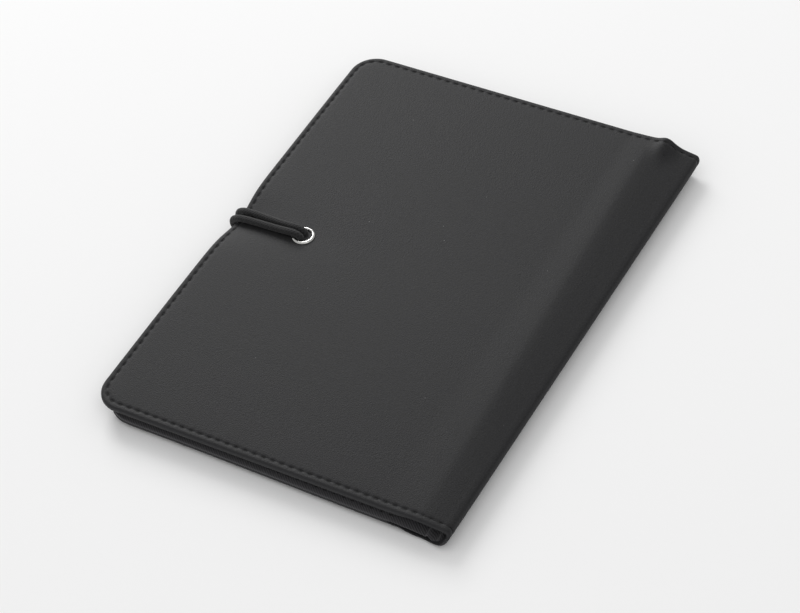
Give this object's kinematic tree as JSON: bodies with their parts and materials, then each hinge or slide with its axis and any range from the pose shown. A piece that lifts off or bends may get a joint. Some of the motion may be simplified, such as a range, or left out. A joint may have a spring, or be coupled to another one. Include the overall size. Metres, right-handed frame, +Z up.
{
  "type": "portfolio folder",
  "caption": "Slim A5 soft-cover portfolio folder with a round spine edge, an eyelet in the front cover and an elastic loop that holds it closed.",
  "frame": {"origin": "middle of the closed folder's footprint, on the surface that it lies on", "axes": "+X from the fore-edge to the spine, +Y from the tail edge to the head along the spine, +Z up through the front cover"},
  "size_m": [0.1762, 0.2376, 0.0152],
  "materials": {
    "cover_cloth": "matte soft-touch",
    "lining_twill": "matte twill",
    "webbing": "matte woven",
    "elastic_cord": "matte braided",
    "padding": "foam",
    "board": "grey board",
    "nickel": "polished"
  },
  "bodies": {
    "back_cover": {"back_outer_cover": "cover_cloth", "back_board": "board", "back_lining": "lining_twill", "pad_panel": "lining_twill", "pen_loop": "webbing", "closure_button": "nickel", "spine_bend": "cover_cloth", "bend_lining": "lining_twill"},
    "spine": {"spine_strip": "cover_cloth", "spine_strip_lining": "lining_twill"},
    "front_cover": {"front_outer_cover": "cover_cloth", "front_padding": "padding", "front_board": "board", "front_lining": "lining_twill", "document_pocket": "lining_twill", "eyelet": "nickel", "eyelet_washer": "nickel", "cord_clamp": "nickel", "elastic_loop": "elastic_cord"}
  },
  "joints": [
    {"name": "spine_fold", "type": "hinge", "parent": "back_cover", "child": "spine", "pos_m": [0.08686, 0, 0.0056], "axis": [0, 1, 0], "range_deg": [0, 176], "deforming": ["spine_bend", "bend_lining", "elastic_loop"]},
    {"name": "ridge_fold", "type": "hinge", "parent": "spine", "child": "front_cover", "pos_m": [0.0628, 0, 0.0112], "axis": [0, 1, 0], "range_deg": [0, 4], "deforming": ["elastic_loop"]}
  ]
}
